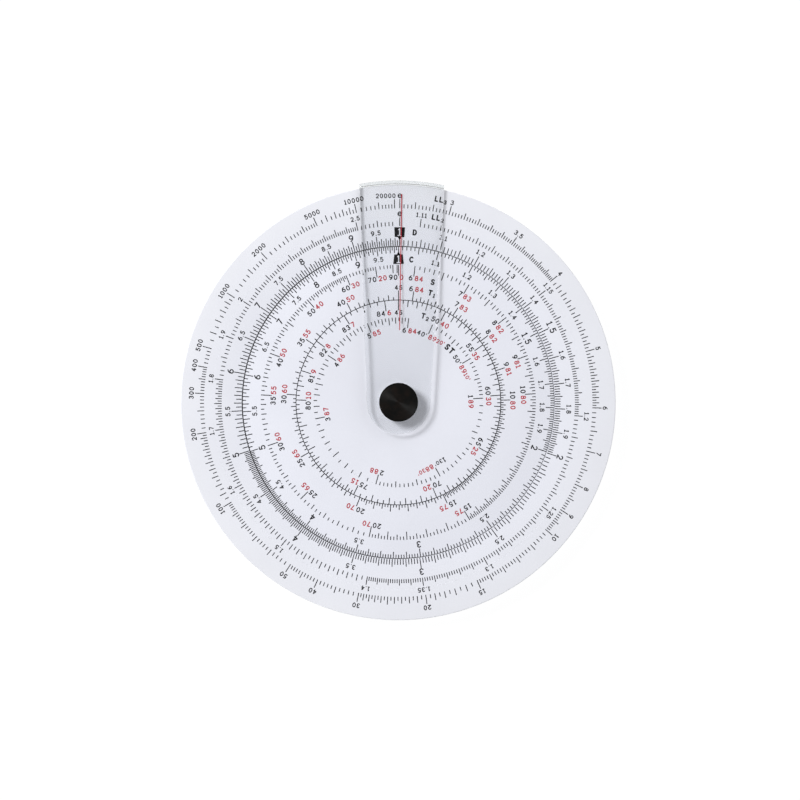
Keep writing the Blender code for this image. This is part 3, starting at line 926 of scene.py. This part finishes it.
PLAIN_SPANS = [(1, 2, 0.01, 0.05, 0.1), (2, 5, 0.02, 0.1, 0.5), (5, 10, 0.05, 0.1, 0.5)]
SQUARE_SPANS = [(1, 2, 0.02, 0.1, 0.5), (2, 5, 0.05, 0.1, 0.5), (5, 10, 0.1, 0.5, 1)]
PLAIN_SMALL = [1.1, 1.2, 1.3, 1.4, 1.6, 1.7, 1.8, 1.9, 2.5, 3.5, 4.5, 5.5, 6.5, 7.5, 8.5, 9.5]
PLAIN_LARGE = [1.5, 2, 3, 4, 5, 6, 7, 8, 9]
DEGREE_MARKS = [6, 7, 8, 9, 10, 15, 20, 25, 30, 35, 40]


def draw_plain_scale(ink, foot, way, lengths, small_radius, large_radius):
    """A C or D scale: 1 to 10 once round the rule, with the whole numbers and 1.5 larger than the rest."""
    draw_scale(ink, plain, PLAIN_SPANS, [1] + PLAIN_SMALL + PLAIN_LARGE, foot, way, lengths)
    draw_labels(ink, plain, PLAIN_SMALL, small_radius, 1.26)
    draw_labels(ink, plain, PLAIN_LARGE, large_radius, 1.68, 0.165)


def draw_name(ink, name, degrees, radius, height=1.35, below=""):
    """A scale's name in bold, with its figure below the line."""
    ink.text(name, degrees / 360, radius, height, BOLD_PEN)
    if below:
        shift = word_width(name, height, BOLD_PEN) / 2 + LETTER_GAP * height
        ink.text(below, degrees / 360, radius - 0.25, 0.72 * height, 0.22, anchor=1, gap=shift)


def draw_d(ink):
    """D, just outside the seam, with its index."""
    draw_plain_scale(ink, 39.62, 1, (1.38, 1.9, 2.2, 2.6), 42.5, 42.3)
    draw_index(ink, 41.8, 44.3, 1.22, 1.36, 41.0)
    draw_name(ink, "D", 5.1, 42.4, 1.55)


def draw_c(ink):
    """C, just inside the seam, with its index."""
    draw_plain_scale(ink, 39.33, -1, (0.86, 1.57, 1.82, 2.05), 35.75, 35.4)
    draw_index(ink, 35.0, 37.4, 1.34, 1.10, 38.2)
    draw_name(ink, "C", 5.1, 35.5, 1.55)


def draw_front_ring(ink):
    """LL3 and LL2, the log-log scales, and D."""
    spans = [
        (2.72, 4, 0.02, 0.1, 0), (4, 6, 0.05, 0.1, 0.5), (6, 10, 0.1, 0.5, 0), (10, 15, 0.2, 1, 0),
        (15, 30, 0.5, 1, 5), (30, 50, 1, 5, 0), (50, 100, 2, 10, 0), (100, 200, 5, 10, 50),
        (200, 400, 10, 50, 0), (400, 500, 20, 0, 0), (500, 1000, 50, 100, 0), (1000, 2000, 100, 500, 0),
        (2000, 5000, 200, 1000, 0), (5000, 10000, 500, 1000, 0), (10000, 20000, 1000, 5000, 0),
    ]
    marks = [3, 3.5, 4, 5, 6, 7, 8, 9, 10, 15, 20, 30, 40, 50, 100, 200, 300, 400, 500, 1000, 2000, 5000]
    draw_scale(ink, log_log_high, spans, [E] + marks + [10000, 20000], *OUTER)
    for mark in marks + [10000]:
        ink.text(f"{mark}", log_log_high(mark), 51.7, 1.25)
    ink.text("20000", log_log_high(20000), 51.7, 1.2, anchor=-1, gap=-0.3)
    ink.text("e", 0.0, 51.65, 1.8, 0.13)
    draw_name(ink, "LL", 10.9, 51.65, 1.5, "3")

    spans = [
        (1.11, 1.2, 0.001, 0.005, 0.01), (1.2, 1.4, 0.002, 0.01, 0.05), (1.4, 1.8, 0.005, 0.01, 0.05),
        (1.8, 2.5, 0.01, 0.05, 0.1), (2.5, 2.71, 0.02, 0.1, 0),
    ]
    marks = [1.11, 1.15, 1.2, 1.25, 1.3, 1.35, 1.4, 1.5, 1.6, 1.7, 1.8, 1.9, 2, 2.5]
    draw_scale(ink, log_log_low, spans, marks + [E], *MIDDLE)
    draw_labels(ink, log_log_low, marks, 47.1, 1.2)
    ink.text("e", 0.0, 47.05, 1.85, 0.15)
    draw_name(ink, "LL", 11.1, 47.0, 1.5, "2")
    draw_d(ink)


def draw_front_dial(ink, red):
    """C, the sines and tangents with the complement of each angle in red, and the small angles."""
    draw_c(ink)
    spans = [
        (6, 15, 5 * MINUTE, 10 * MINUTE, 30 * MINUTE), (15, 20, 10 * MINUTE, 30 * MINUTE, 1),
        (20, 30, 20 * MINUTE, 1, 5), (30, 60, 0.5, 1, 5), (60, 70, 1, 5, 0), (70, 80, 2, 0, 0),
    ]
    marks = DEGREE_MARKS + [50, 60, 70]
    draw_scale(ink, sines, spans, marks + [90], 34.76, -1, (0.85, 1.35, 2.05, 2.7))
    for mark in (80, 85):
        ink.tick(sines(mark), 34.76, -2.05)
    draw_angle_labels(ink, red, sines, marks + [90], 30.95)
    draw_name(ink, "S", 15.9, 30.85, 1.55)

    spans = [
        (6, 15, 5 * MINUTE, 10 * MINUTE, 1), (15, 20, 10 * MINUTE, 30 * MINUTE, 1),
        (20, 30, 20 * MINUTE, 1, 5), (30, 45, 0.5, 1, 5),
    ]
    draw_scale(ink, low_tangents, spans, DEGREE_MARKS + [45], TANGENT_CIRCLE, 1, (0.72, 1.3, 1.75, 2.4))
    draw_angle_labels(ink, red, low_tangents, DEGREE_MARKS, 28.25)
    ink.text("45", 0.0, 28.4, 1.25)
    draw_name(ink, "T", 16.2, 28.1, 1.5, "1")

    spans = [(45, 60, 0.5, 1, 0), (60, 75, 20 * MINUTE, 1, 0), (75, 84, 10 * MINUTE, 30 * MINUTE, 1)]
    marks = [50, 55, 60, 65, 70, 75, 80, 81, 82, 83, 84]
    draw_scale(ink, high_tangents, spans, marks + [45], TANGENT_CIRCLE, -1, (0.9, 1.65, 2.1, 2.6))
    draw_angle_labels(ink, red, high_tangents, marks, 22.1)
    ink.text("45", 0.0, 22.1, 1.25)
    draw_name(ink, "T", 16.0, 22.0, 1.5, "2")
    ink.circle(TANGENT_CIRCLE, CIRCLE_WIDTH)

    spans = [
        (40 * MINUTE, 1, MINUTE, 5 * MINUTE, 0), (1, 2, 2 * MINUTE, 10 * MINUTE, 30 * MINUTE),
        (2, 6, 5 * MINUTE, 10 * MINUTE, 30 * MINUTE),
    ]
    marks = [40, 50, 60, 90] + [60 * degrees for degrees in range(2, 7)]
    draw_scale(ink, small_angles, spans, [m * MINUTE for m in marks], 21.44, -1, (0.9, 1.5, 1.85, 2.5))
    for minutes in marks:
        turn = small_angles(minutes * MINUTE)
        draw_minutes(ink, turn, minutes, -1)
        draw_minutes(red, turn, 90 * 60 - minutes, 1)
    draw_name(ink, "ST", 43.6, 17.9, 1.65)


def decades(spans, count):
    """The same spans again for each power of ten."""
    return [tuple(value * 10**power for value in span) for power in range(count) for span in spans]


def draw_back_ring(ink):
    """K for cubes, A for squares, and D."""
    spans = decades([(1, 3, 0.05, 0.1, 0.5), (3, 6, 0.1, 0.5, 0), (6, 10, 0.2, 1, 0)], 3)
    marks = [m * 10**power for power in range(3) for m in (1, 1.5, 2, 3, 4, 5, 6, 8)]
    draw_scale(ink, cubes, spans, marks, *OUTER)
    draw_labels(ink, cubes, marks, 51.7, 1.22)
    draw_name(ink, "K", 5.0, 51.7)
    spans = decades(SQUARE_SPANS, 2)
    marks = [m * 10**power for power in range(2) for m in (1, 1.5, 2, 2.5, 3, 4, 5, 6, 7, 8, 9)]
    draw_scale(ink, squares, spans, marks, *MIDDLE)
    draw_labels(ink, squares, marks[1:], 47.1, 1.2)
    ink.text("1", 0.0, 47.1, 1.2)
    draw_name(ink, "A", 5.0, 47.1)
    draw_d(ink)


def draw_back_dial(ink, red):
    """C, the inverse scale CI in red, B for squares, and the even scale L."""
    draw_c(ink)
    marks = [1.5, 2, 2.5, 3, 4, 5, 6, 7, 8, 9]
    draw_scale(red, inverse, PLAIN_SPANS, [1] + marks, 34.5, -1, (0.8, 1.3, 1.7, 2.2))
    draw_labels(red, inverse, marks, 30.95, 1.25)
    red.text("1", 0.0, 30.95, 1.25)
    draw_name(red, "CI", 6.5, 30.95)
    spans = decades(SQUARE_SPANS, 2)
    marks = [m * 10**power for power in range(2) for m in (1, 2, 3, 4, 5, 6, 7, 8, 9)]
    draw_scale(ink, squares, spans, marks, TANGENT_CIRCLE, 1, (0.72, 1.3, 1.75, 2.1))
    draw_labels(ink, squares, marks, 28.25, 1.25)
    draw_name(ink, "B", 7.0, 28.2)
    ink.circle(TANGENT_CIRCLE, CIRCLE_WIDTH)
    marks = [i / 10 for i in range(10)]
    draw_scale(ink, linear, [(0, 1, 0.005, 0.01, 0.05)], marks, TANGENT_CIRCLE, -1, (0.9, 1.5, 1.9, 2.6))
    draw_labels(ink, linear, marks, 21.9, 1.25)
    draw_name(ink, "L", 9.0, 21.9)


def add_prints():
    """The four printed areas. Each ink on each area is one piece: a film that stands a little proud."""
    areas = (
        ("ring", "front", RING_OFFSET, draw_front_ring, 1),
        ("dial", "front", DIAL_OFFSET, draw_front_dial, 2),
        ("ring", "back", RING_OFFSET, draw_back_ring, 1),
        ("dial", "back", DIAL_OFFSET, draw_back_dial, 2),
    )
    for body, side, offset, draw, ink_count in areas:
        prints = [Print(offset) for _ in range(ink_count)]
        draw(*prints)
        for ink, (colour, material, slot) in zip(prints, INKS):
            mesh = ink.mesh() if side == "front" else turned_over(ink.mesh())
            add_piece(f"{body}_{side}_{colour}_print", mesh, material, body)


# ---------- studio

VIEW_DISTANCE = 0.70
VIEW_WIDTH = 0.2022  # how wide a strip of the front face's plane the picture spans
VIEW_LEAN = (math.radians(-0.8), math.radians(-0.8))  # off straight above, to the right and to the top
VIEW_ROLL = math.radians(0.90)  # the camera is rolled by this much, so that the cursor leans to the right
AIM = (0.40 * MM, 0.615 * MM)  # the picture's middle, seen from the pivot
LAMP_BEARING = math.radians(31)  # the key lamp stands to the left, and this far towards the top
LAMP_ZENITH = math.radians(46)
LAMP_DISTANCE = 3.4
LAMP_SIZE = 1.1
LAMP_POWER = 76.0
SKY_LEVEL = 0.64
ZENITH_LEVEL = 0.07  # darker overhead, so that the clear blade reflects little into the camera


def add_floor():
    """A plain pale floor that shows only a trace of shadow, as a lit table does."""
    bm = bmesh.new()
    bmesh.ops.create_grid(bm, x_segments=2, y_segments=2, size=4.0)
    mesh = bpy.data.meshes.new("floor")
    bm.to_mesh(mesh)
    bm.free()
    material, tree, shader, place = start_material("floor")
    grain = remap(tree, noise(tree, place, 0.02, 2.0), 0.3, 0.7, 0.10, 0.12)
    pale = node(tree, "CombineColor", {0: grain, 1: grain, 2: grain}).outputs[0]
    link_inputs(tree, shader, Base_Color=pale, Roughness=0.9, Specular_IOR_Level=0.1)
    link_inputs(tree, shader, Emission_Color=(1.0, 1.0, 1.0, 1.0), Emission_Strength=0.93)
    mesh.materials.append(material)
    add_object("floor", mesh)


def add_lights():
    """One square soft box that faces the rule, in a plain sky."""
    level = math.sin(LAMP_ZENITH)
    left, up = level * math.cos(LAMP_BEARING), level * math.sin(LAMP_BEARING)
    direction = Vector((-left, up, math.cos(LAMP_ZENITH)))
    data = bpy.data.lights.new("key", "AREA")
    data.shape = "SQUARE"
    data.size = LAMP_SIZE
    data.energy = LAMP_POWER
    lamp = add_object("key", data)
    lamp.location = direction * LAMP_DISTANCE
    lamp.rotation_euler = direction.to_track_quat("Z", "Y").to_euler()
    world = bpy.data.worlds.new("studio")
    world.use_nodes = True
    tree = world.node_tree
    place = node(tree, "TexCoord").outputs["Generated"]
    height = node(tree, "SeparateXYZ", {0: place}).outputs["Z"]
    strength = remap(tree, height, 0.88, 0.965, SKY_LEVEL, ZENITH_LEVEL)
    seen = node(tree, "LightPath").outputs["Is Camera Ray"]
    background = {"Strength": math_node(tree, "MAXIMUM", strength, seen), "Color": (1.0, 1.0, 1.0, 1.0)}
    link_inputs(tree, tree.nodes["Background"], **background)
    bpy.context.scene.world = world


def add_camera():
    """A long lens nearly straight above the rule."""
    data = bpy.data.cameras.new("camera")
    data.sensor_width = 36.0
    data.lens = data.sensor_width * VIEW_DISTANCE / VIEW_WIDTH
    data.clip_start, data.clip_end = 0.05, 20.0
    camera = add_object("camera", data)
    up = Vector((-math.sin(VIEW_ROLL), math.cos(VIEW_ROLL), 0.0))
    right = Vector((math.cos(VIEW_ROLL), math.sin(VIEW_ROLL), 0.0))
    back = (Vector((0, 0, 1)) + right * math.tan(VIEW_LEAN[0]) + up * math.tan(VIEW_LEAN[1])).normalized()
    target = Vector((0, 0, FACE_TOP)) + right * AIM[0] + up * AIM[1]
    side = up.cross(back).normalized()
    turn = Matrix((side, back.cross(side), back)).transposed()
    camera.matrix_world = Matrix.Translation(target + back * VIEW_DISTANCE) @ turn.to_4x4()
    bpy.context.scene.camera = camera


def dress_cad_nodes():
    """The model's own solids that show as they are get their finished materials."""
    looks = {"hub_bush": BRASS, "pivot_stud": STEEL, "wave_spring": STEEL}
    looks |= {"front_hairline": RED_INK, "back_hairline": RED_INK}
    for node_name, material in looks.items():
        for slot in frame["nodes"][node_name].material_slots:
            slot.material = material


dress_cad_nodes()
add_sheets()
add_prints()
add_cursor()
add_pivot()
add_floor()
add_lights()
add_camera()
bpy.context.scene.view_settings.view_transform = "Standard"
